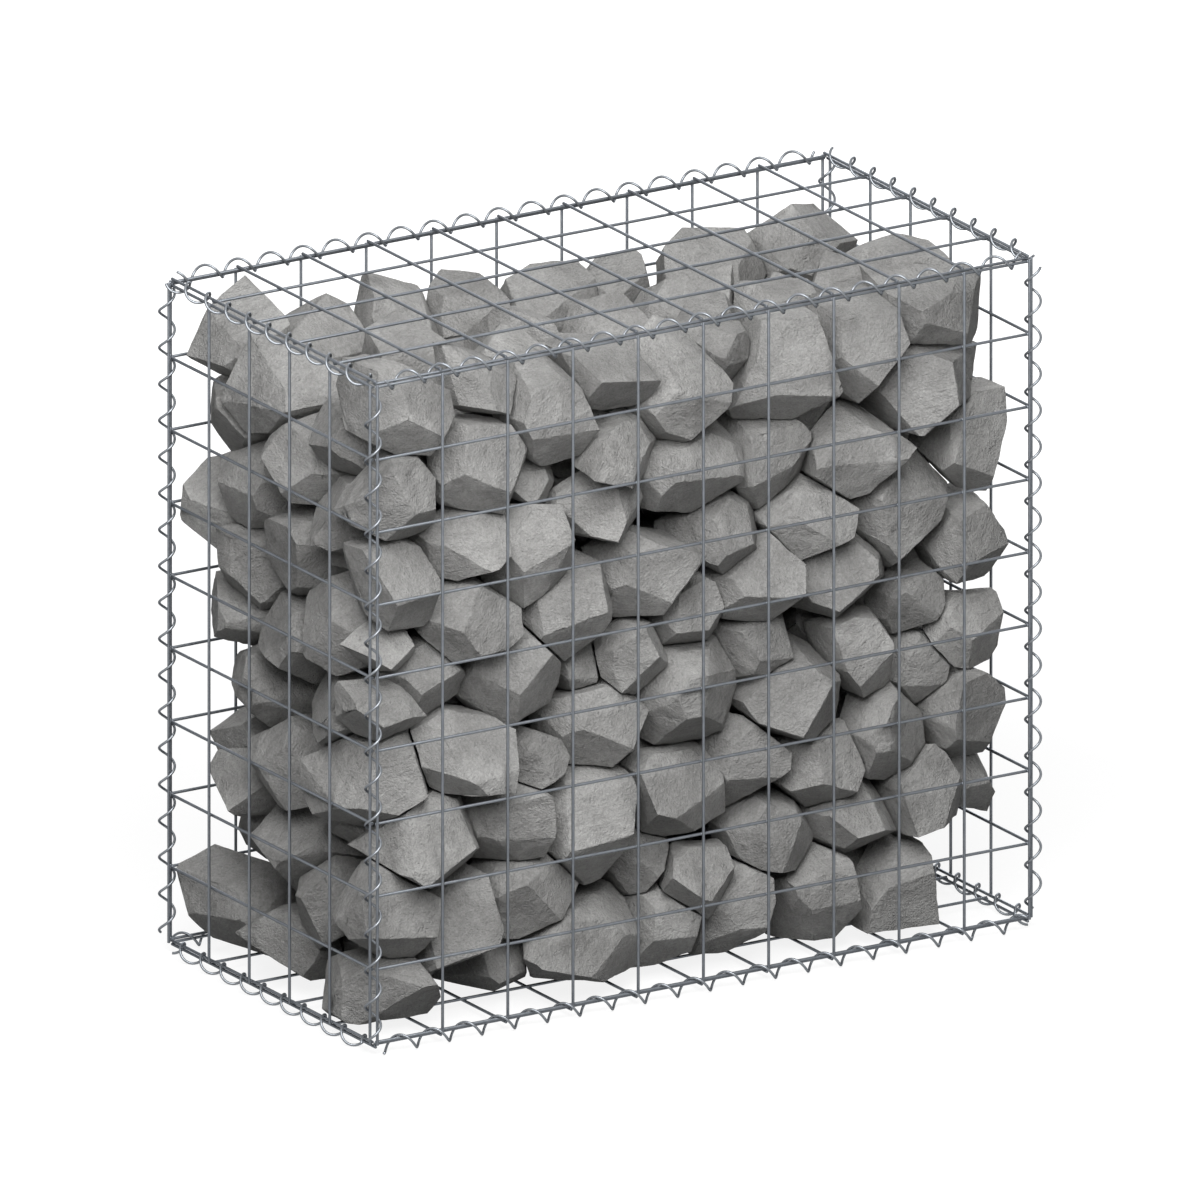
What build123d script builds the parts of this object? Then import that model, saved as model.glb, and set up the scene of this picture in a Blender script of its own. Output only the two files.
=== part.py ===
from build123d import *

import itertools
import math
import os
import random

import numpy as np
from scipy.spatial import HalfspaceIntersection

# Stone-filled gabion basket: six welded mesh panels laced along their twelve
# edges by spiral binders, filled with loose angular stones.
# X runs along the basket, Y goes from the front to the back, Z is up.
# The origin is on the ground under the middle of the basket.

# Mesh
pitch = 100.0  # square mesh, from wire to wire
bays_long = 10
bays_deep = 5
bays_high = 9
wire = 4.0  # diameter of the mesh wire
weld_sink = 0.4  # how far crossing wires sink into each other when welded
outer_stub = 3.5  # outer wires run this far past the last crossing wire
inner_stub = 0.9  # inner wires run this far past the last crossing wire
corner_lap = 7.0  # a panel's outer wires lie this far outside the next panel's edge wire
bar_sides = 8

# Spiral binders
spiral_wire = 3.5
spiral_pitch = 50.0
spiral_set_out = 3.6  # how far an upright spiral is pulled outwards off its two wires
seat = 0.3  # play between a piece and what it bears on
spiral_end_gap = 1.0  # room between the ends of the three spirals of a corner

# Degrees at which each spiral stands where it passes a wire of the mesh
upright_angles = {"front_left": 148, "front_right": 3, "back_left": 58, "back_right": 32}
long_angles = {"top_front": 95, "top_back": 56, "bottom_front": 182, "bottom_back": 315}
deep_angles = {"top_left": 325, "top_right": 55, "bottom_left": 235, "bottom_right": 125}

# Stones
stone_joint = 0.3  # play between two stones that bear on each other
stone_corner = 7.0  # corners of a stone that are closer than this are knapped into one
stone_seed = 12
split_roll = 38.0  # degrees that a stone may be rolled about its outward direction
split_tilt_share = 0.24  # how far each split face may lean away from its usual direction
split_reach_shares = (0.90, 1.06)  # how far each split face may lie further in or out
hold_off_share = 0.62  # unseen stones keep this share of the mean half sizes between centres
core_size_share = 1.32  # stones inside, as shares of a mesh bay: size, step, shift and stagger
core_pitch_share = 1.12
core_shift_share = 0.2
core_stagger_share = 0.5
facing_share = 1.15  # depth of the facing stones, as a share of a mesh bay

# Faces that a quarried stone splits along, as shares of a unit normal and of the
# stone's half size: outwards, up, aside, distance from the middle
split_face_shares = (
    (1.00, 0.40, 0.10, 0.70),
    (0.80, -0.70, 0.25, 0.74),
    (0.50, 0.05, 1.00, 0.78),
    (0.25, -0.15, -1.00, 0.86),
    (0.15, 1.00, 0.15, 0.84),
    (0.00, -1.00, -0.20, 0.90),
    (-1.00, 0.10, 0.00, 0.86),
    (0.30, 0.65, 0.75, 0.82),
    (0.25, -0.60, -0.80, 0.86),
)

# Stones behind the front mesh, as shares of a mesh bay:
# along from the left, up from the base, width, height, distance behind the mesh
front_stone_shares = (
    (0.90, 8.25, 1.60, 1.15, 0.00),
    (2.15, 8.35, 0.90, 0.80, 0.35),
    (3.05, 7.90, 1.25, 1.60, 0.00),
    (4.00, 8.25, 1.35, 1.00, 0.10),
    (5.05, 7.90, 1.45, 1.50, 0.00),
    (5.90, 8.20, 1.00, 0.90, 0.45),
    (6.60, 7.90, 1.45, 1.75, 0.00),
    (7.80, 8.00, 1.30, 1.50, 0.05),
    (9.00, 8.25, 1.45, 0.95, 0.10),
    (0.80, 7.20, 1.15, 1.35, 0.00),
    (2.00, 7.40, 1.55, 1.30, 0.00),
    (2.90, 6.95, 0.90, 0.70, 0.50),
    (4.15, 7.30, 1.15, 0.95, 0.10),
    (5.20, 6.75, 2.10, 1.20, 0.05),
    (6.55, 6.70, 1.40, 1.35, 0.30),
    (7.65, 6.60, 1.30, 1.30, 0.00),
    (8.80, 7.30, 1.45, 1.50, 0.00),
    (9.50, 6.45, 1.00, 1.60, 0.10),
    (0.75, 6.00, 1.30, 1.30, 0.00),
    (1.80, 6.30, 1.10, 1.05, 0.20),
    (2.75, 6.10, 1.20, 1.50, 0.00),
    (3.90, 6.50, 1.50, 1.00, 0.10),
    (4.50, 5.50, 1.35, 1.30, 0.00),
    (5.75, 5.80, 1.15, 1.15, 0.15),
    (7.05, 5.80, 1.25, 1.05, 0.10),
    (8.55, 5.65, 1.65, 1.65, 0.10),
    (9.50, 5.05, 1.20, 1.35, 0.10),
    (0.65, 5.10, 0.90, 0.70, 0.30),
    (1.80, 5.30, 1.35, 1.25, 0.00),
    (3.30, 5.20, 1.60, 1.20, 0.00),
    (1.25, 4.55, 1.40, 1.10, 0.35),
    (2.55, 4.45, 1.60, 1.55, 0.10),
    (6.20, 5.05, 1.50, 1.20, 0.00),
    (7.55, 4.90, 1.60, 1.20, 0.10),
    (5.20, 4.80, 1.20, 1.10, 0.20),
    (4.30, 4.35, 1.20, 1.00, 0.10),
    (3.70, 4.20, 0.80, 0.80, 0.60),
    (8.70, 4.40, 1.10, 0.90, 0.30),
    (9.40, 3.90, 1.25, 1.00, 0.05),
    (0.60, 4.25, 0.90, 0.80, 0.25),
    (1.70, 3.50, 1.70, 1.25, 0.00),
    (3.80, 3.55, 1.50, 1.50, 0.10),
    (2.90, 3.20, 0.95, 0.90, 0.30),
    (5.20, 3.70, 1.60, 1.60, 0.00),
    (6.40, 4.15, 1.10, 1.10, 0.30),
    (6.80, 3.40, 1.65, 1.30, 0.00),
    (7.85, 3.85, 1.00, 1.30, 0.05),
    (8.85, 3.40, 1.00, 1.10, 0.40),
    (8.20, 2.65, 1.35, 1.40, 0.00),
    (9.45, 2.70, 1.20, 1.45, 0.05),
    (1.20, 2.35, 1.60, 1.60, 0.00),
    (2.55, 2.40, 1.30, 1.20, 0.10),
    (3.60, 2.20, 1.45, 1.90, 0.00),
    (5.10, 2.40, 1.65, 1.30, 0.05),
    (6.10, 2.60, 1.30, 1.15, 0.20),
    (7.20, 2.35, 1.35, 1.10, 0.05),
    (8.75, 1.80, 1.25, 1.40, 0.00),
    (9.55, 1.70, 0.80, 0.80, 0.50),
    (1.70, 1.10, 1.40, 1.25, 0.10),
    (2.80, 1.40, 1.60, 1.25, 0.15),
    (5.30, 1.20, 1.35, 1.10, 0.00),
    (6.50, 1.60, 1.30, 1.10, 0.10),
    (7.70, 1.60, 1.20, 1.10, 0.10),
    (4.70, 1.40, 0.80, 0.80, 0.50),
    (3.50, 0.60, 2.00, 1.15, 0.00),
    (4.90, 0.60, 1.00, 1.10, 0.20),
    (5.95, 0.65, 1.30, 1.15, 0.10),
    (7.20, 0.65, 1.40, 1.20, 0.00),
    (8.40, 0.60, 1.20, 1.15, 0.05),
)

# Stones behind the left mesh, as shares of a mesh bay:
# back from the front mesh, up from the base, width, height, distance behind the mesh,
# where a stone that would stick out is cut flat by the mesh
left_stone_shares = (
    (4.30, 8.20, 1.40, 0.90, 0.02),
    (3.20, 7.90, 1.90, 1.35, -0.08),
    (1.70, 7.75, 1.40, 1.00, 0.02),
    (4.25, 7.35, 1.60, 1.10, 0.02),
    (2.65, 7.20, 1.50, 1.50, -0.08),
    (1.65, 6.65, 1.15, 1.10, 0.02),
    (3.70, 6.55, 1.35, 1.30, -0.08),
    (2.70, 5.90, 1.30, 1.30, -0.03),
    (4.35, 5.75, 1.30, 1.30, 0.12),
    (3.80, 5.40, 1.60, 1.20, -0.08),
    (1.60, 5.20, 1.60, 1.50, -0.08),
    (2.80, 4.65, 1.60, 1.25, -0.03),
    (4.20, 4.65, 1.60, 1.20, 0.02),
    (3.75, 3.80, 1.90, 1.20, 0.02),
    (1.75, 4.00, 1.80, 1.10, 0.07),
    (2.85, 3.00, 1.15, 1.30, -0.03),
    (1.20, 3.20, 2.00, 1.60, -0.08),
    (4.20, 2.80, 1.20, 1.00, 0.32),
    (4.05, 2.45, 1.50, 1.30, 0.02),
    (2.80, 1.80, 2.00, 1.60, -0.03),
    (0.85, 1.50, 1.50, 1.45, -0.08),
    (2.20, 1.20, 1.15, 1.20, 0.07),
    (4.20, 0.60, 1.50, 1.15, -0.03),
    (3.00, 0.45, 1.80, 0.85, 0.02),
    (1.00, 0.50, 1.70, 0.90, -0.08),
    (1.80, 2.40, 1.20, 0.90, 0.42),
)

# Stones under the lid, as shares of a mesh bay:
# along from the left, back from the front mesh, width, depth, distance under the lid
top_stone_shares = (
    (2.30, 2.70, 1.60, 1.40, 0.15),
    (3.70, 2.50, 1.50, 1.30, 0.10),
    (5.00, 2.40, 1.10, 1.30, 0.25),
    (6.40, 2.70, 1.50, 1.40, 0.15),
    (7.40, 1.90, 1.40, 1.30, 0.15),
    (8.70, 2.20, 1.40, 1.30, 0.20),
    (9.50, 2.60, 0.90, 1.20, 0.20),
    (3.00, 1.75, 1.00, 1.00, 0.20),
    (6.20, 1.70, 0.90, 0.90, 0.20),
    (1.60, 4.10, 1.50, 1.20, 0.30),
    (2.90, 4.20, 1.30, 1.30, 0.10),
    (4.00, 4.20, 1.20, 1.20, 0.20),
    (5.10, 3.90, 1.60, 1.50, 0.10),
    (6.25, 4.10, 1.15, 1.15, 0.35),
    (7.70, 4.10, 1.70, 1.50, 0.10),
    (9.00, 4.00, 1.50, 1.50, 0.10),
)

# Hollows left in the fill, as shares of a mesh bay:
# along from the left, back from the front mesh, up from the base, width
hollow_shares = (
    (9.50, 0.60, 0.60, 1.40),
    (9.50, 1.90, 0.55, 1.30),
    (1.75, 0.35, 0.25, 0.80),
    (0.40, 4.40, 1.65, 1.20),
)

# Worked out from the sizes above
layer_step = wire - weld_sink
inner_lap = corner_lap - layer_step
half_long = pitch * bays_long / 2
half_deep = pitch * bays_deep / 2
half_high = pitch * bays_high / 2
bear_radius = math.hypot(corner_lap / math.sqrt(2), spiral_set_out)
spiral_radius = bear_radius + wire / 2 + seat + spiral_wire / 2
spiral_outer = spiral_radius + spiral_wire / 2


# Where a spiral lies around two edge wires, given how far each lies outside the
# mesh corner: pulled outwards until it bears on both
def spiral_axis(first_out, second_out):
    middle = (first_out / 2, second_out / 2)
    spread = math.hypot(first_out, second_out)
    set_out = math.sqrt(bear_radius**2 - (spread / 2) ** 2)
    return middle[0] + set_out * second_out / spread, middle[1] + set_out * first_out / spread


long_out, long_up = spiral_axis(inner_lap, inner_lap)
deep_out, deep_up = spiral_axis(inner_lap, corner_lap)
upright_long, upright_deep = spiral_axis(corner_lap, corner_lap)
middle_height = half_high + max(long_up, deep_up) + spiral_outer
corner_signs = list(itertools.product((1, -1), repeat=3))


def mesh_bar(length):
    section = RegularPolygon(wire / 2, bar_sides, major_radius=False, rotation=180 / bar_sides)
    return extrude(section, length / 2, both=True)


# A panel lies flat with its outer wires along Y and its inner wires, one layer
# lower, along X
def mesh_panel(bays_across, bays_up):
    half_across = pitch * bays_across / 2
    half_up = pitch * bays_up / 2
    outer_bar = Rot(X=90) * mesh_bar(2 * (half_up + outer_stub))
    inner_bar = Rot(Y=90) * mesh_bar(2 * (half_across + inner_stub))
    bars = [Pos(X=pitch * step - half_across) * outer_bar for step in range(bays_across + 1)]
    bars += [Pos(Y=pitch * step - half_up, Z=-layer_step) * inner_bar for step in range(bays_up + 1)]
    return bars[0].fuse(*bars[1:])


def make_panels():
    middle = Pos(Z=middle_height)
    front = mesh_panel(bays_long, bays_high)
    side = mesh_panel(bays_deep, bays_high)
    lid = mesh_panel(bays_long, bays_deep)
    out_x = half_long + corner_lap
    out_y = half_deep + corner_lap
    out_z = half_high + corner_lap
    left_to_right, front_to_back = (1, 0, 0), (0, 1, 0)
    right_to_left, back_to_front = (-1, 0, 0), (0, -1, 0)
    return {
        "front_mesh": middle * Plane((0, -out_y, 0), left_to_right, back_to_front).location * front,
        "back_mesh": middle * Plane((0, out_y, 0), right_to_left, front_to_back).location * front,
        "left_mesh": middle * Plane((-out_x, 0, 0), back_to_front, right_to_left).location * side,
        "right_mesh": middle * Plane((out_x, 0, 0), front_to_back, left_to_right).location * side,
        "lid_mesh": middle * Plane((0, 0, out_z), left_to_right, (0, 0, 1)).location * lid,
        "base_mesh": middle * Plane((0, 0, -out_z), right_to_left, (0, 0, -1)).location * lid,
    }


# A right-hand spiral along Z, centred on the origin, that stands at the given
# angle from X wherever a wire of the mesh crosses it
def spiral(bays, clear_end, angle_at_wires):
    half_run = pitch * bays / 2 - clear_end
    turns = math.ceil(2 * half_run / spiral_pitch)
    rise = 2 * half_run / turns
    twist = 360 * rise / spiral_pitch
    turn = Helix(spiral_pitch, rise, spiral_radius)
    path = Wire([Pos(Z=step * rise) * Rot(Z=step * twist) * turn for step in range(turns)])
    section = Plane(origin=path @ 0, z_dir=path % 0) * Circle(spiral_wire / 2)
    coil = sweep(section, path=path, is_frenet=True)
    start_angle = angle_at_wires + 360 * clear_end / spiral_pitch
    return Pos(Z=-half_run) * Rot(Z=start_angle) * coil


def make_spirals():
    nodes = {}
    middle = Pos(Z=middle_height)
    reach = spiral_outer + spiral_end_gap
    for name, angle in upright_angles.items():
        coil = spiral(bays_high, reach - min(long_up, deep_up), angle)
        side = 1 if "right" in name else -1
        face = 1 if "back" in name else -1
        place = Pos(side * (half_long + upright_long), face * (half_deep + upright_deep), 0)
        nodes[name + "_spiral"] = middle * place * coil
    for name, angle in long_angles.items():
        coil = spiral(bays_long, reach - min(upright_long, deep_out), angle)
        face = 1 if "back" in name else -1
        level = 1 if "top" in name else -1
        origin = (0, face * (half_deep + long_out), level * (half_high + long_up))
        nodes[name + "_spiral"] = middle * Plane(origin, (0, 1, 0), (1, 0, 0)).location * coil
    for name, angle in deep_angles.items():
        coil = spiral(bays_deep, reach - min(upright_deep, long_out), angle)
        side = 1 if "right" in name else -1
        level = 1 if "top" in name else -1
        origin = (side * (half_long + deep_out), 0, level * (half_high + deep_up))
        nodes[name + "_spiral"] = middle * Plane(origin, (0, 0, 1), (0, 1, 0)).location * coil
    return nodes


# A stone is its centre and its half sizes along X, Y and Z
def stone_at(centre, size):
    return np.array(centre), np.array(size) / 2


def front_stones():
    stones = []
    for along, up, wide, high, behind in front_stone_shares:
        deep = (wide + high) / 2
        centre = (along - bays_long / 2, behind + deep / 2 - bays_deep / 2, up - bays_high / 2)
        stones.append(stone_at(np.array(centre) * pitch, np.array((wide, deep, high)) * pitch))
    return stones


def left_stones():
    stones = []
    for back, up, wide, high, behind in left_stone_shares:
        deep = (wide + high) / 2
        centre = (behind + deep / 2 - bays_long / 2, back - bays_deep / 2, up - bays_high / 2)
        stones.append(stone_at(np.array(centre) * pitch, np.array((deep, wide, high)) * pitch))
    return stones


def top_stones():
    stones = []
    for along, back, wide, deep, under in top_stone_shares:
        high = (wide + deep) / 2
        centre = (along - bays_long / 2, back - bays_deep / 2, bays_high / 2 - under - high / 2)
        stones.append(stone_at(np.array(centre) * pitch, np.array((wide, deep, high)) * pitch))
    return stones


# Hollows keep stones away as a stone would, but stay empty
def hollows():
    places = []
    for along, back, up, wide in hollow_shares:
        centre = (along - bays_long / 2, back - bays_deep / 2, up - bays_high / 2)
        places.append(stone_at(np.array(centre) * pitch, np.array((wide, wide, wide)) * pitch))
    return places


# The far sides repeat the near ones after half a turn about Z
def half_turn(stones):
    return [(centre * np.array((-1, -1, 1)), half) for centre, half in stones]


# The stones inside, behind the facing stones, lie on a loose grid with every
# second layer half a step over
def core_stones(rng):
    stones = []
    step = pitch * core_pitch_share
    shift = pitch * core_shift_share
    size = pitch * core_size_share
    layers = int(2 * half_high / step)
    rows = int(2 * half_deep / step)
    columns = int(2 * half_long / step)
    room = np.array((half_long, half_deep, half_high)) - pitch * facing_share
    for layer in range(layers):
        for row in range(rows):
            for column in range(columns):
                stagger = core_stagger_share * (layer % 2)
                grid = (column + stagger - columns / 2, row + stagger - rows / 2, layer + 0.5)
                centre = np.array(grid) * step - np.array((0, 0, half_high))
                centre = centre + np.array([rng.uniform(-shift, shift) for _ in range(3)])
                if abs(centre[0]) < room[0] and abs(centre[1]) < room[1] and centre[2] < room[2]:
                    stones.append(stone_at(centre, (size, size, size)))
    return stones


# Only stones that find room between those already laid are kept
def lay(laid, stones):
    kept = []
    for centre, half in stones:
        room = [
            np.linalg.norm(centre - other) > hold_off_share * (half.mean() + other_half.mean())
            for other, other_half in laid + kept
        ]
        if all(room):
            kept.append((centre, half))
    return kept


# Planes that dress one stone: each row is an outward normal and its distance
# from the origin
def quarry_cuts(centre, half, outwards, rng):
    cuts = []
    front = np.array(outwards)
    upright = np.array((0, 0, 1)) if front[2] == 0 else np.array((0, -1, 0))
    aside = np.cross(upright, front)
    roll = math.radians(rng.uniform(-split_roll, split_roll))
    upright, aside = (
        upright * math.cos(roll) + aside * math.sin(roll),
        (aside * math.cos(roll) - upright * math.sin(roll)) * rng.choice((1, -1)),
    )
    for out_share, up_share, aside_share, reach_share in split_face_shares:
        normal = out_share * front + up_share * upright + aside_share * aside
        normal = normal + np.array([rng.gauss(0, split_tilt_share) for _ in range(3)])
        normal = normal / np.linalg.norm(normal)
        reach = np.linalg.norm(normal * half) * reach_share * rng.uniform(*split_reach_shares)
        cuts.append((*normal, normal @ centre + reach))
    return cuts


# Two stones that would overlap share a bearing plane between their centres
def bearing_cuts(centre, half, others):
    cuts = []
    for other, other_half in others:
        gap = other - centre
        distance = np.linalg.norm(gap)
        normal = gap / distance
        own = np.linalg.norm(normal * half)
        theirs = np.linalg.norm(normal * other_half)
        if 0 < distance < 2 * (own + theirs):
            reach = distance * own / (own + theirs) - stone_joint / 2
            cuts.append((*normal, normal @ centre + reach))
    return cuts


# The inner faces of the six panels, and room for the spirals along their edges
def cage_cuts():
    inside = inner_lap - wire / 2 - seat
    reach = (half_long + inside, half_deep + inside, half_high + inside)
    spirals = (
        (half_long + upright_long, half_deep + upright_deep, 0),
        (half_long + deep_out, 0, half_high + deep_up),
        (0, half_deep + long_out, half_high + long_up),
    )
    cuts = []
    for axis in range(3):
        for side in (1, -1):
            normal = np.zeros(3)
            normal[axis] = side
            cuts.append((*normal, reach[axis]))
    for spiral_place in spirals:
        for corner in sorted({tuple(np.multiply(spiral_place, signs)) for signs in corner_signs}):
            normal = np.sign(corner) / math.sqrt(2)
            cuts.append((*normal, normal @ corner - spiral_outer - seat))
    return cuts


def dress(centre, cuts):
    planes = np.array([(*cut[:3], -cut[3]) for cut in cuts])
    corners = []
    for corner in HalfspaceIntersection(planes, centre).intersections:
        if all(math.dist(corner, other) > stone_corner for other in corners):
            corners.append(corner)
    return Pos(Z=middle_height) * ConvexPolyhedron([tuple(corner) for corner in corners])


def make_stones():
    rng = random.Random(stone_seed)
    outwards = {
        "front_stones": (0, -1, 0),
        "left_stones": (-1, 0, 0),
        "top_stones": (0, 0, 1),
        "back_stones": (0, 1, 0),
        "right_stones": (1, 0, 0),
        "core_stones": (0, -1, 0),
    }
    groups = {"front_stones": front_stones(), "left_stones": left_stones(), "top_stones": top_stones()}
    unseen = {"back_stones": half_turn(front_stones()), "right_stones": half_turn(left_stones())}
    unseen["core_stones"] = core_stones(rng)
    laid = [stone for group in groups.values() for stone in group]
    for name, stones in unseen.items():
        groups[name] = lay(laid + hollows(), stones)
        laid += groups[name]
    nodes = {}
    for name, stones in groups.items():
        solids = []
        for centre, half in stones:
            others = [stone for stone in laid if stone[0] is not centre]
            cuts = quarry_cuts(centre, half, outwards[name], rng)
            cuts += bearing_cuts(centre, half, others) + cage_cuts()
            solids.append(dress(centre, cuts))
        nodes[name] = Compound(children=solids)
    return nodes


os.makedirs("parts", exist_ok=True)
for node, shape in {**make_panels(), **make_spirals(), **make_stones()}.items():
    export_step(shape, f"parts/{node}.step")
    print(node, len(shape.solids()), len(shape.faces()))
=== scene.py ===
import math
import random

import bmesh
import bpy
from mathutils import Matrix, Vector, noise


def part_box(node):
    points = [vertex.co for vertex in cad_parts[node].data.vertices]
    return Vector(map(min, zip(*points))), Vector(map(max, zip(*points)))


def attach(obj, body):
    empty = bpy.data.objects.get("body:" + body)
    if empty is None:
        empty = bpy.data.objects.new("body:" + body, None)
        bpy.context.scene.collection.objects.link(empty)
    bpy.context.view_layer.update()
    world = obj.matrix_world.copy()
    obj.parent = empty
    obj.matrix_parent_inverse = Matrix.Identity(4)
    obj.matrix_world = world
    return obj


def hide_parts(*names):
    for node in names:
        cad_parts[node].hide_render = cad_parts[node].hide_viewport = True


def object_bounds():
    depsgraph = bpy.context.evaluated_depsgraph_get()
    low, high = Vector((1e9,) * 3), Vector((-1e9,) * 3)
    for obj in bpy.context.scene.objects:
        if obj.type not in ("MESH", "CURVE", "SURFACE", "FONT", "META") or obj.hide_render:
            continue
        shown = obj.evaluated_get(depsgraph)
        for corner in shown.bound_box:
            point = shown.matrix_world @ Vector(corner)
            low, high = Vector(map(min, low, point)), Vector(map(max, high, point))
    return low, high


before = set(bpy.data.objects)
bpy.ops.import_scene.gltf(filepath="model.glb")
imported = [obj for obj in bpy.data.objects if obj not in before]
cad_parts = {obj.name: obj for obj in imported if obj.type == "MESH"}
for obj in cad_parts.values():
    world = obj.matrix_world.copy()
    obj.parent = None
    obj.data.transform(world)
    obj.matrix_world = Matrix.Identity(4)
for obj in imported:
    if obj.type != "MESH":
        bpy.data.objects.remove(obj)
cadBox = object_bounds()
scene = bpy.context.scene
scene.view_settings.view_transform = "Standard"
print("frame loaded:", len(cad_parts), "nodes")

axes = (Vector((1, 0, 0)), Vector((0, 1, 0)), Vector((0, 0, 1)))
basketMiddle = (cadBox[0] + cadBox[1]) / 2
pureWhite = (1.0, 1.0, 1.0, 1.0)


# shader nodes that the materials share

def newMaterial(name):
    material = bpy.data.materials.new(name)
    material.use_nodes = True
    tree = material.node_tree
    return material, tree, tree.nodes["Principled BSDF"]


def objectPlace(tree):
    return tree.nodes.new("ShaderNodeTexCoord").outputs["Object"]


def addNoise(tree, vector, scale, detail, rough):
    node = tree.nodes.new("ShaderNodeTexNoise")
    node.inputs["Scale"].default_value = scale
    node.inputs["Detail"].default_value = detail
    node.inputs["Roughness"].default_value = rough
    tree.links.new(vector, node.inputs["Vector"])
    return node.outputs["Fac"]


def addRamp(tree, factor, stops):
    node = tree.nodes.new("ShaderNodeValToRGB")
    ramp = node.color_ramp
    while len(ramp.elements) < len(stops):
        ramp.elements.new(0.5)
    for element, (place, colour) in zip(ramp.elements, stops):
        element.position = place
        element.color = (*colour, 1.0)
    tree.links.new(factor, node.inputs["Fac"])
    return node.outputs["Color"]


def addBump(tree, height, strength, distance, below=None):
    node = tree.nodes.new("ShaderNodeBump")
    node.inputs["Strength"].default_value = strength
    node.inputs["Distance"].default_value = distance
    tree.links.new(height, node.inputs["Height"])
    if below is not None:
        tree.links.new(below, node.inputs["Normal"])
    return node.outputs["Normal"]


# a number that follows another one from end to end
def addSpan(tree, value, source, target):
    node = tree.nodes.new("ShaderNodeMapRange")
    node.inputs["From Min"].default_value, node.inputs["From Max"].default_value = source
    node.inputs["To Min"].default_value, node.inputs["To Max"].default_value = target
    tree.links.new(value, node.inputs["Value"])
    return node.outputs["Result"]


# each value in turn is linked to the next input, or set on it
def fillInputs(tree, node, values):
    for socket, value in zip(node.inputs, values):
        if isinstance(value, bpy.types.NodeSocket):
            tree.links.new(value, socket)
        else:
            socket.default_value = value


def addMath(tree, operation, *values):
    node = tree.nodes.new("ShaderNodeMath")
    node.operation = operation
    fillInputs(tree, node, values)
    return node.outputs["Value"]


def addVectorMath(tree, operation, *values):
    node = tree.nodes.new("ShaderNodeVectorMath")
    node.operation = operation
    fillInputs(tree, node, values)
    return node.outputs["Value" if operation == "LENGTH" else "Vector"]


# stone and zinc

stoneLook = {
    "colours": (  # from the dark to the light of the clouds
        (0.28, (0.235, 0.232, 0.226)),
        (0.50, (0.300, 0.297, 0.290)),
        (0.72, (0.360, 0.357, 0.349)),
    ),
    "cloud": (11.0, 5.0, 0.6),  # scale, detail and roughness of each noise
    "speck": (330.0, 3.0, 0.65),
    "scratch": (1.0, 4.0, 0.6),
    "lump": (38.0, 3.0, 0.5),
    "grain": (360.0, 3.0, 0.65),
    "scratchStretch": (62.0, 150.0, 185.0),
    "noiseSpan": (0.28, 0.72),
    "speckSpan": (0.83, 1.17),  # what the colour is multiplied by
    "scratchSpan": (0.87, 1.13),
    "toneSpan": (0.88, 1.08),  # the darkest and the lightest stone
    "facetScale": 27.0,
    "facetLean": 0.20,
    "lumpBump": (0.8, 0.0080),  # strength and height
    "scratchBump": (0.6, 0.0026),
    "grainBump": (1.0, 0.0032),
    "rough": 0.88,
    "shine": 0.25,
    "patternShift": (37.0, 23.0, 51.0),  # from stone to stone
    "patternAxis": (0.55, 0.6, 0.58),
    "patternTurn": 29.0,
}


# every stone takes its own stretch of the pattern, turned its own way
def stonePlace(tree, tone):
    turn = tree.nodes.new("ShaderNodeVectorRotate")
    turn.rotation_type = "AXIS_ANGLE"
    turn.inputs["Axis"].default_value = stoneLook["patternAxis"]
    shifted = addVectorMath(
        tree, "MULTIPLY_ADD", tone.outputs["Vector"], stoneLook["patternShift"], objectPlace(tree))
    angle = addMath(tree, "MULTIPLY", tone.outputs["Fac"], stoneLook["patternTurn"])
    tree.links.new(shifted, turn.inputs["Vector"])
    tree.links.new(angle, turn.inputs["Angle"])
    return turn.outputs["Vector"]


# broken faces: each cell of the pattern leans its own way
def addFacets(tree, where):
    cells = tree.nodes.new("ShaderNodeTexVoronoi")
    cells.inputs["Scale"].default_value = stoneLook["facetScale"]
    tree.links.new(where, cells.inputs["Vector"])
    centred = addVectorMath(tree, "SUBTRACT", cells.outputs["Color"], (0.5, 0.5, 0.5))
    normal = tree.nodes.new("ShaderNodeNewGeometry").outputs["Normal"]
    leaning = addVectorMath(tree, "MULTIPLY_ADD", centred, [stoneLook["facetLean"]] * 3, normal)
    return addVectorMath(tree, "NORMALIZE", leaning)


def stoneMaterial():
    look = stoneLook
    material, tree, shader = newMaterial("brokenStone")
    tone = tree.nodes.new("ShaderNodeAttribute")
    tone.attribute_name = "stoneTone"
    where = stonePlace(tree, tone)
    stretch = tree.nodes.new("ShaderNodeMapping")
    stretch.inputs["Scale"].default_value = look["scratchStretch"]
    tree.links.new(where, stretch.inputs["Vector"])
    cloud = addNoise(tree, where, *look["cloud"])
    speck = addNoise(tree, where, *look["speck"])
    scratch = addNoise(tree, stretch.outputs["Vector"], *look["scratch"])
    lump = addNoise(tree, where, *look["lump"])
    grain = addNoise(tree, where, *look["grain"])

    colour = addRamp(tree, cloud, look["colours"])
    for value, source, target in (
            (speck, look["noiseSpan"], look["speckSpan"]),
            (scratch, look["noiseSpan"], look["scratchSpan"]),
            (tone.outputs["Fac"], (0.0, 1.0), look["toneSpan"])):
        colour = addVectorMath(tree, "MULTIPLY", colour, addSpan(tree, value, source, target))
    tree.links.new(colour, shader.inputs["Base Color"])

    normal = addFacets(tree, where)
    for height, bump in ((lump, "lumpBump"), (scratch, "scratchBump"), (grain, "grainBump")):
        normal = addBump(tree, height, *look[bump], normal)
    tree.links.new(normal, shader.inputs["Normal"])
    shader.inputs["Roughness"].default_value = look["rough"]
    shader.inputs["Specular IOR Level"].default_value = look["shine"]
    return material


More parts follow.
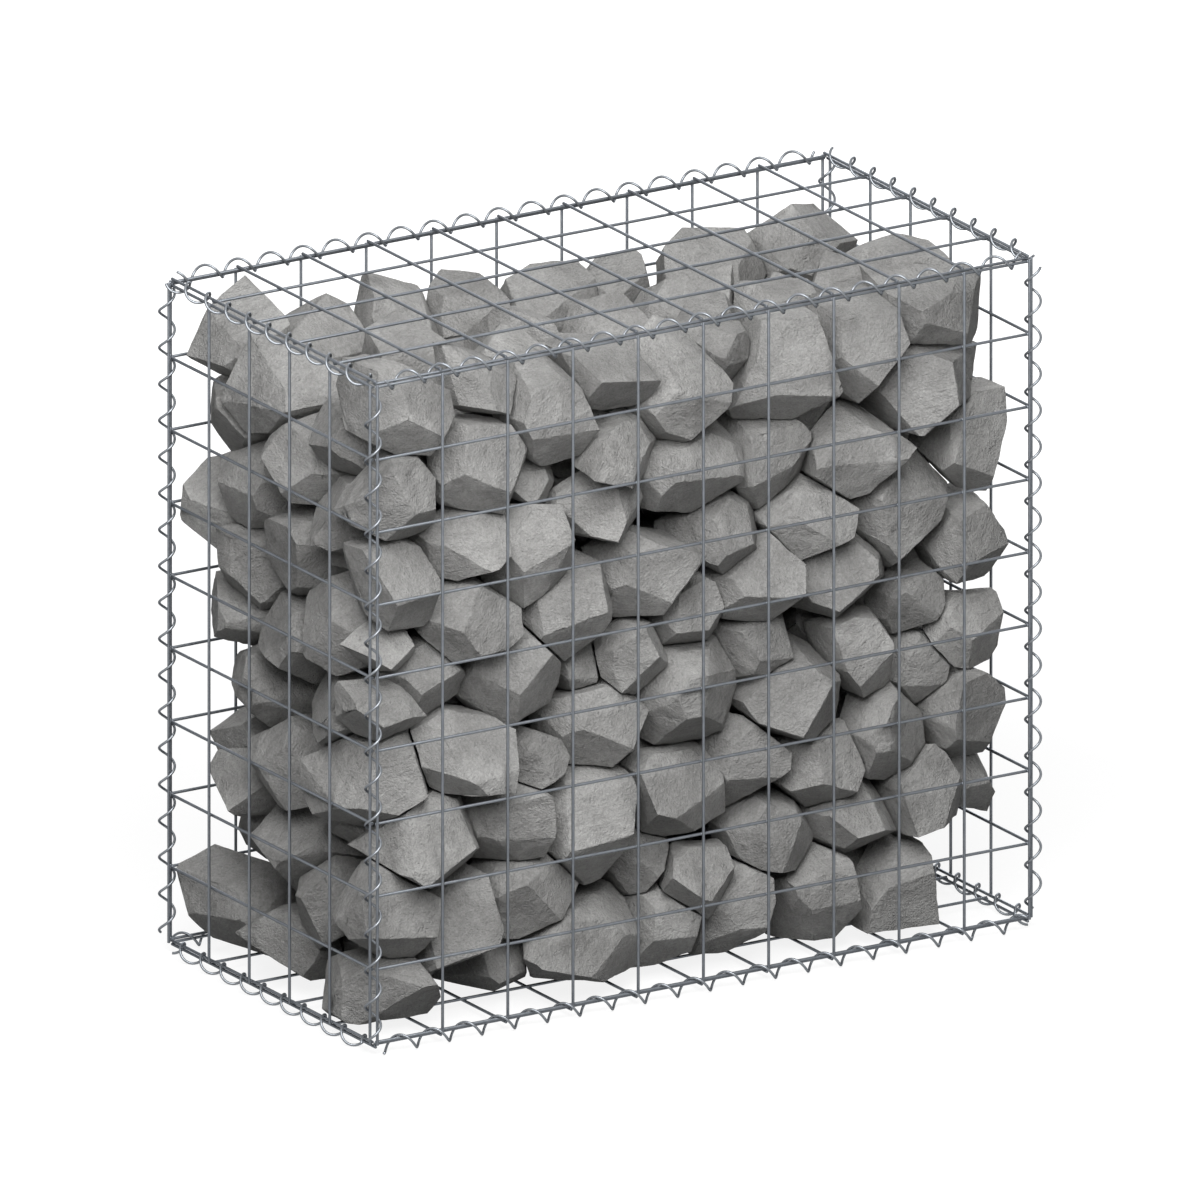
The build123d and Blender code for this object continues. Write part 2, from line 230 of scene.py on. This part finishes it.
wireLook = {
    "mesh": {"colours": ((0.150, 0.162, 0.179), (0.188, 0.202, 0.220)), "rough": (0.33, 0.39)},
    "spiral": {"colours": ((0.178, 0.190, 0.206), (0.218, 0.231, 0.247)), "rough": (0.30, 0.35)},
    "metal": 0.65,
    "edgeTint": (0.12, 0.13, 0.15, 1.0),
    "cloud": (130.0, 5.0, 0.6),  # scale, detail and roughness of each noise
    "grain": (900.0, 3.0, 0.5),
    "colourSpan": (0.32, 0.68),
    "roughSpan": (0.3, 0.7),
    "grainBump": (0.05, 0.0003),  # strength and height
}


def zincMaterial(name, look):
    material, tree, shader = newMaterial(name)
    place = objectPlace(tree)
    cloud = addNoise(tree, place, *wireLook["cloud"])
    grain = addNoise(tree, place, *wireLook["grain"])
    colour = addRamp(tree, cloud, tuple(zip(wireLook["colourSpan"], look["colours"])))
    rough = addSpan(tree, cloud, wireLook["roughSpan"], look["rough"])
    tree.links.new(colour, shader.inputs["Base Color"])
    tree.links.new(rough, shader.inputs["Roughness"])
    tree.links.new(addBump(tree, grain, *wireLook["grainBump"]), shader.inputs["Normal"])
    shader.inputs["Metallic"].default_value = wireLook["metal"]
    shader.inputs["Specular Tint"].default_value = wireLook["edgeTint"]
    return material


stone = stoneMaterial()
meshZinc = zincMaterial("meshZinc", wireLook["mesh"])
spiralZinc = zincMaterial("spiralZinc", wireLook["spiral"])
print("materials made")


# a finished bmesh becomes a piece that stands for its node
def makePiece(bm, name, node, material, sharpAngle=None):
    mesh = bpy.data.meshes.new(name)
    bm.to_mesh(mesh)
    bm.free()
    mesh.materials.append(material)
    mesh.polygons.foreach_set("use_smooth", [True] * len(mesh.polygons))
    if sharpAngle:
        mesh.set_sharp_from_angle(angle=math.radians(sharpAngle))
    piece = bpy.data.objects.new(name, mesh)
    scene.collection.objects.link(piece)
    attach(piece, "root")
    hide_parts(node)
    return piece


# mesh panels

meshPanel = {
    "pitch": 0.1,
    "wire": 0.004,
    "outerStub": 0.0035,
    "innerStub": 0.0009,
    "sides": 14,
    "endRound": 0.0005,
    "nugget": (0.0029, 0.0014),  # radius and half thickness of a weld
    "sharpAngle": 50,
    "axes": {  # the axis across the panel, and the one along its outer wires
        "front_mesh": (1, 2), "back_mesh": (1, 2), "left_mesh": (0, 2),
        "right_mesh": (0, 2), "lid_mesh": (2, 1), "base_mesh": (2, 1),
    },
}


def addWire(bm, middle, along, length):
    turn = axes[2].rotation_difference(along).to_matrix().to_4x4()
    made = bmesh.ops.create_cone(
        bm, cap_ends=True, segments=meshPanel["sides"], radius1=meshPanel["wire"] / 2,
        radius2=meshPanel["wire"] / 2, depth=length, matrix=Matrix.Translation(middle) @ turn)
    edges = dict.fromkeys(e for v in made["verts"] for e in v.link_edges)
    rims = [e for e in edges if any(len(f.verts) > 4 for f in e.link_faces)]  # round the flat ends
    bmesh.ops.bevel(
        bm, geom=rims, offset=meshPanel["endRound"], affect="EDGES", segments=2, profile=0.5, material=-1)


def addWeld(bm, place, normal):
    radius, half = meshPanel["nugget"]
    turn = axes[2].rotation_difference(normal).to_matrix().to_4x4()
    size = Matrix.Diagonal((radius, radius, half, 1.0))
    bmesh.ops.create_icosphere(
        bm, subdivisions=1, radius=1.0, matrix=Matrix.Translation(place) @ turn @ size)


def panelPiece(node, normalAxis, upAxis):
    low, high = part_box(node)
    middle = (low + high) / 2
    crossAxis = 3 - normalAxis - upAxis
    normal, up, cross = axes[normalAxis], axes[upAxis], axes[crossAxis]
    half = meshPanel["wire"] / 2
    outside = middle[normalAxis] > basketMiddle[normalAxis]
    outerLevel = high[normalAxis] - half if outside else low[normalAxis] + half
    innerLevel = low[normalAxis] + half if outside else high[normalAxis] - half
    crossRun = high[crossAxis] - low[crossAxis] - 2 * half
    upRun = high[upAxis] - low[upAxis] - 2 * meshPanel["outerStub"]
    crossBays = round(crossRun / meshPanel["pitch"])
    upBays = round(upRun / meshPanel["pitch"])
    crossPlaces = [low[crossAxis] + half + crossRun * step / crossBays for step in range(crossBays + 1)]
    upPlaces = [low[upAxis] + meshPanel["outerStub"] + upRun * step / upBays for step in range(upBays + 1)]
    bm = bmesh.new()
    for place in crossPlaces:
        centre = cross * place + up * middle[upAxis] + normal * outerLevel
        addWire(bm, centre, up, upRun + 2 * meshPanel["outerStub"])
    for place in upPlaces:
        centre = cross * middle[crossAxis] + up * place + normal * innerLevel
        addWire(bm, centre, cross, crossRun + 2 * meshPanel["innerStub"])
    weldLevel = (outerLevel + innerLevel) / 2
    for place in crossPlaces:
        for level in upPlaces:
            addWeld(bm, cross * place + up * level + normal * weldLevel, normal)
    makePiece(bm, node + "Wires", node, meshZinc, meshPanel["sharpAngle"])


for node, (normalAxis, upAxis) in meshPanel["axes"].items():
    panelPiece(node, normalAxis, upAxis)
print("mesh panels made")


# spiral binders

spiralCoil = {
    "wire": 0.0035,
    "pitch": 0.05,
    "sides": 12,
    "stepsPerTurn": 24,
    "endRound": 0.0005,
    "sharpAngle": 50,
    "angles": {  # degrees round the axis, level with the first edge wire
        "front_left": 148, "front_right": 3, "back_left": 58, "back_right": 32,
        "top_front": 95, "top_back": 56, "bottom_front": 182, "bottom_back": 315,
        "top_left": 325, "top_right": 55, "bottom_left": 235, "bottom_right": 125,
    },
}


def spiralPiece(name, angleAtWires):
    low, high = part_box(name + "_spiral")
    size = high - low
    centre = (low + high) / 2
    axisNumber = max(range(3), key=lambda number: size[number])
    axis = axes[axisNumber]
    first, second = axes[(axisNumber + 1) % 3], axes[(axisNumber + 2) % 3]
    half = spiralCoil["wire"] / 2
    radius = size[(axisNumber + 1) % 3] / 2 - half
    lead = math.atan2(spiralCoil["pitch"], 2 * math.pi * radius)
    run = size[axisNumber] - 2 * half * math.cos(lead)
    wireRun = round(run / meshPanel["pitch"]) * meshPanel["pitch"]
    angle = math.radians(angleAtWires) + 2 * math.pi * (wireRun - run) / 2 / spiralCoil["pitch"]
    outward = first * math.cos(angle) + second * math.sin(angle)
    around = second * math.cos(angle) - first * math.sin(angle)
    tangent = around * math.cos(lead) + axis * math.sin(lead)
    start = centre - axis * run / 2 + outward * radius
    turns = run / spiralCoil["pitch"]
    steps = round(turns * spiralCoil["stepsPerTurn"])
    bm = bmesh.new()
    ringTurn = Matrix((outward, tangent.cross(outward), tangent)).transposed().to_4x4()
    ring = bmesh.ops.create_circle(
        bm, segments=spiralCoil["sides"], radius=half, matrix=Matrix.Translation(start) @ ringTurn)
    edges = list(dict.fromkeys(e for v in ring["verts"] for e in v.link_edges))
    bmesh.ops.spin(
        bm, geom=ring["verts"] + edges, cent=centre, axis=axis, dvec=axis * run / steps,
        angle=turns * 2 * math.pi, steps=steps, use_merge=False)
    ends = bmesh.ops.holes_fill(bm, edges=[e for e in bm.edges if e.is_boundary], sides=0)["faces"]
    rims = list(dict.fromkeys(e for f in ends for e in f.edges))
    bmesh.ops.bevel(
        bm, geom=rims, offset=spiralCoil["endRound"], affect="EDGES", segments=2, profile=0.5, material=-1)
    bmesh.ops.recalc_face_normals(bm, faces=bm.faces)
    makePiece(bm, name + "Coil", name + "_spiral", spiralZinc, spiralCoil["sharpAngle"])


for name, angle in spiralCoil["angles"].items():
    spiralPiece(name, angle)
print("spiral binders made")


# stones

stoneBlock = {
    "nodes": ("front_stones", "left_stones", "top_stones", "back_stones", "right_stones", "core_stones"),
    "seed": 7,
    "mergeReach": 0.00001,
    "flatAngle": 0.6,  # degrees within which the node's triangles join to one face
    "shortest": 0.004,  # edges below this close up
    "edgeRound": 0.0011,
    "splitLengths": (0.064, 0.032, 0.018),  # faces are cut finer step by step
    "coreLengths": (0.064,),
    "evenAngle": 1.0,  # degrees within which the cuts of a face may turn
    "swell": (13.0, 0.0012),  # how close and how deep the faces dip in
    "dent": (60.0, 0.0006),
    "chip": (46.0, 0.0040),  # the same along the edges
    "chipPower": 3,  # more makes the chips fewer
    "depthShare": 0.30,  # the deepest dip, as a share of the edges beside it
    "dipMiddle": 0.5,
    "dipRange": 0.6,
    "waves": (1.0, 2.0, 3),  # fall, step and number of waves in a dip
    "stoneShift": Vector((5.0, 3.0, 2.0)),  # from stone to stone
}


# the loose stones of a bmesh, as lists of faces
def looseStones(bm):
    left = set(bm.faces)
    groups = []
    for start in bm.faces:
        if start not in left:
            continue
        left.discard(start)
        group, queue = [], [start]
        while queue:
            face = queue.pop()
            group.append(face)
            for other in (f for e in face.edges for f in e.link_faces):
                if other in left:
                    left.discard(other)
                    queue.append(other)
        groups.append(group)
    return groups


# narrow worn faces along all edges, stone by stone, marked in the layer
def wearEdges(bm, wornLayer):
    for group in looseStones(bm):
        edges = list(dict.fromkeys(e for f in group for e in f.edges))
        worn = bmesh.ops.bevel(
            bm, geom=edges, offset=stoneBlock["edgeRound"], affect="EDGES", segments=1, profile=0.5,
            material=-1, clamp_overlap=True)["faces"]
        for face in worn:
            face[wornLayer] = 1


# cut every face into small, even triangles and leave it flat
def splitFaces(bm, lengths):
    evenAngle = math.radians(stoneBlock["evenAngle"])
    bmesh.ops.triangulate(bm, faces=bm.faces)
    for length in lengths:
        longEdges = [e for e in bm.edges if e.calc_length() > length]
        bmesh.ops.subdivide_edges(bm, edges=longEdges, cuts=1)
        bmesh.ops.triangulate(bm, faces=[f for f in bm.faces if len(f.verts) > 3])
        flatEdges = [e for e in bm.edges if e.calc_face_angle(0.0) < evenAngle]
        bmesh.ops.beautify_fill(bm, faces=bm.faces, edges=flatEdges, method="ANGLE")


# a share between 0 and 1, from a noise that runs on either side of 0
def dip(place, closeness):
    wave = noise.fractal(place * closeness, *stoneBlock["waves"])
    return min(1.0, max(0.0, stoneBlock["dipMiddle"] + stoneBlock["dipRange"] * wave))


# how far a point of a stone is worn in
def wornDepth(vert, place, wornLayer):
    depth = sum(deep * dip(place, close) for close, deep in (stoneBlock["swell"], stoneBlock["dent"]))
    if any(face[wornLayer] for face in vert.link_faces):
        close, deep = stoneBlock["chip"]
        depth += deep * dip(place, close) ** stoneBlock["chipPower"]
    reach = sum(e.calc_length() for e in vert.link_edges) / len(vert.link_edges)
    return min(depth, stoneBlock["depthShare"] * reach)


def stonePiece(node, rng):
    bm = bmesh.new()
    bm.from_mesh(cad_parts[node].data)
    bmesh.ops.remove_doubles(bm, verts=bm.verts, dist=stoneBlock["mergeReach"])
    bmesh.ops.dissolve_limit(
        bm, angle_limit=math.radians(stoneBlock["flatAngle"]), verts=bm.verts, edges=bm.edges)
    bmesh.ops.dissolve_degenerate(bm, dist=stoneBlock["shortest"], edges=bm.edges)
    toneLayer = bm.verts.layers.float.new("stoneTone")
    wornLayer = bm.faces.layers.int.new("worn")
    for group in looseStones(bm):
        tone = rng.random()
        for vert in {v for f in group for v in f.verts}:
            vert[toneLayer] = tone
    wearEdges(bm, wornLayer)
    splitFaces(bm, stoneBlock["coreLengths" if node == "core_stones" else "splitLengths"])
    bm.normal_update()
    moves = []
    for vert in bm.verts:
        place = vert.co + stoneBlock["stoneShift"] * vert[toneLayer]
        moves.append(vert.normal * -wornDepth(vert, place, wornLayer))
    for vert, move in zip(bm.verts, moves):
        vert.co += move
    for edge in bm.edges:  # sharp where a worn face meets a broken one
        edge.smooth = len({face[wornLayer] for face in edge.link_faces}) == 1
    bm.faces.layers.int.remove(wornLayer)
    return makePiece(bm, node + "Blocks", node, stone)


stoneRng = random.Random(stoneBlock["seed"])
for node in stoneBlock["nodes"]:
    piece = stonePiece(node, stoneRng)
    print(node, "made with", sum(len(f.vertices) - 2 for f in piece.data.polygons), "triangles")


# camera, light and floor

cameraView = {"azimuth": -31.68, "elevation": 18.25, "width": 1.566, "distance": 6.0, "clip": 50.0}


def addCamera():
    turn = math.radians(cameraView["azimuth"])
    rise = math.radians(cameraView["elevation"])
    back = Vector((math.sin(turn) * math.cos(rise), -math.cos(turn) * math.cos(rise), math.sin(rise)))
    camera = bpy.data.objects.new("photoCamera", bpy.data.cameras.new("photoCamera"))
    camera.data.type = "ORTHO"
    camera.data.ortho_scale = cameraView["width"]
    camera.data.clip_end = cameraView["clip"]
    camera.location = basketMiddle + back * cameraView["distance"]
    camera.rotation_mode = "QUATERNION"
    camera.rotation_quaternion = (-back).to_track_quat("-Z", "Y")
    scene.collection.objects.link(camera)
    scene.camera = camera


studioLamps = {
    "key": {"place": (-1.5, -2.2, 3.1), "size": 3.0, "power": 268.0},
    "rim": {"place": (2.2, 3.0, 1.6), "size": 2.4, "power": 130.0},
}


def addLamp(name, look):
    lamp = bpy.data.lights.new(name, "AREA")
    lamp.size = look["size"]
    lamp.energy = look["power"]
    holder = bpy.data.objects.new(name, lamp)
    holder.location = look["place"]
    holder.rotation_mode = "QUATERNION"
    holder.rotation_quaternion = (basketMiddle - holder.location).to_track_quat("-Z", "Y")
    scene.collection.objects.link(holder)


# 1 for rays from the camera and for what metal mirrors, 0 for rays that carry light
def seenRays(tree):
    path = tree.nodes.new("ShaderNodeLightPath")
    seen = path.outputs["Is Camera Ray"]
    for output in ("Is Glossy Ray", "Is Transmission Ray"):
        seen = addMath(tree, "MAXIMUM", seen, path.outputs[output])
    return seen


studioWorld = {"light": 0.05, "seen": 1.0}


def addWorld():
    world = bpy.data.worlds.new("studio")
    world.use_nodes = True
    tree = world.node_tree
    mix = tree.nodes.new("ShaderNodeMixShader")
    tree.links.new(seenRays(tree), mix.inputs["Fac"])
    backgrounds = (tree.nodes["Background"], tree.nodes.new("ShaderNodeBackground"))
    for number, (background, use) in enumerate(zip(backgrounds, ("light", "seen"))):
        background.inputs["Color"].default_value = pureWhite
        background.inputs["Strength"].default_value = studioWorld[use]
        tree.links.new(background.outputs["Background"], mix.inputs[number + 1])
    tree.links.new(mix.outputs["Shader"], tree.nodes["World Output"].inputs["Surface"])
    scene.world = world


studioFloor = {
    "size": 30.0,
    "drop": 0.0005,
    "colour": (0.16, 0.16, 0.16, 1.0),
    "glow": (0.86, 1.0),  # beside the basket and far off
    "glowReach": (1.0, 2.2),
}


# the camera sees the floor as white, dimmed only by the basket's shadow
def addFloor():
    bm = bmesh.new()
    bmesh.ops.create_grid(bm, x_segments=1, y_segments=1, size=studioFloor["size"])
    mesh = bpy.data.meshes.new("studioFloor")
    bm.to_mesh(mesh)
    bm.free()
    material, tree, shader = newMaterial("studioWhite")
    shader.inputs["Base Color"].default_value = studioFloor["colour"]
    shader.inputs["Roughness"].default_value = 1.0
    shader.inputs["Specular IOR Level"].default_value = 0.0
    shader.inputs["Emission Color"].default_value = pureWhite
    away = addVectorMath(tree, "LENGTH", objectPlace(tree))
    glow = addSpan(tree, away, studioFloor["glowReach"], studioFloor["glow"])
    tree.links.new(addMath(tree, "MULTIPLY", seenRays(tree), glow), shader.inputs["Emission Strength"])
    mesh.materials.append(material)
    floor = bpy.data.objects.new("studioFloor", mesh)
    floor.location.z = -studioFloor["drop"]
    scene.collection.objects.link(floor)


addCamera()
for name, look in studioLamps.items():
    addLamp(name, look)
addWorld()
addFloor()
print("camera, lamps and floor set")
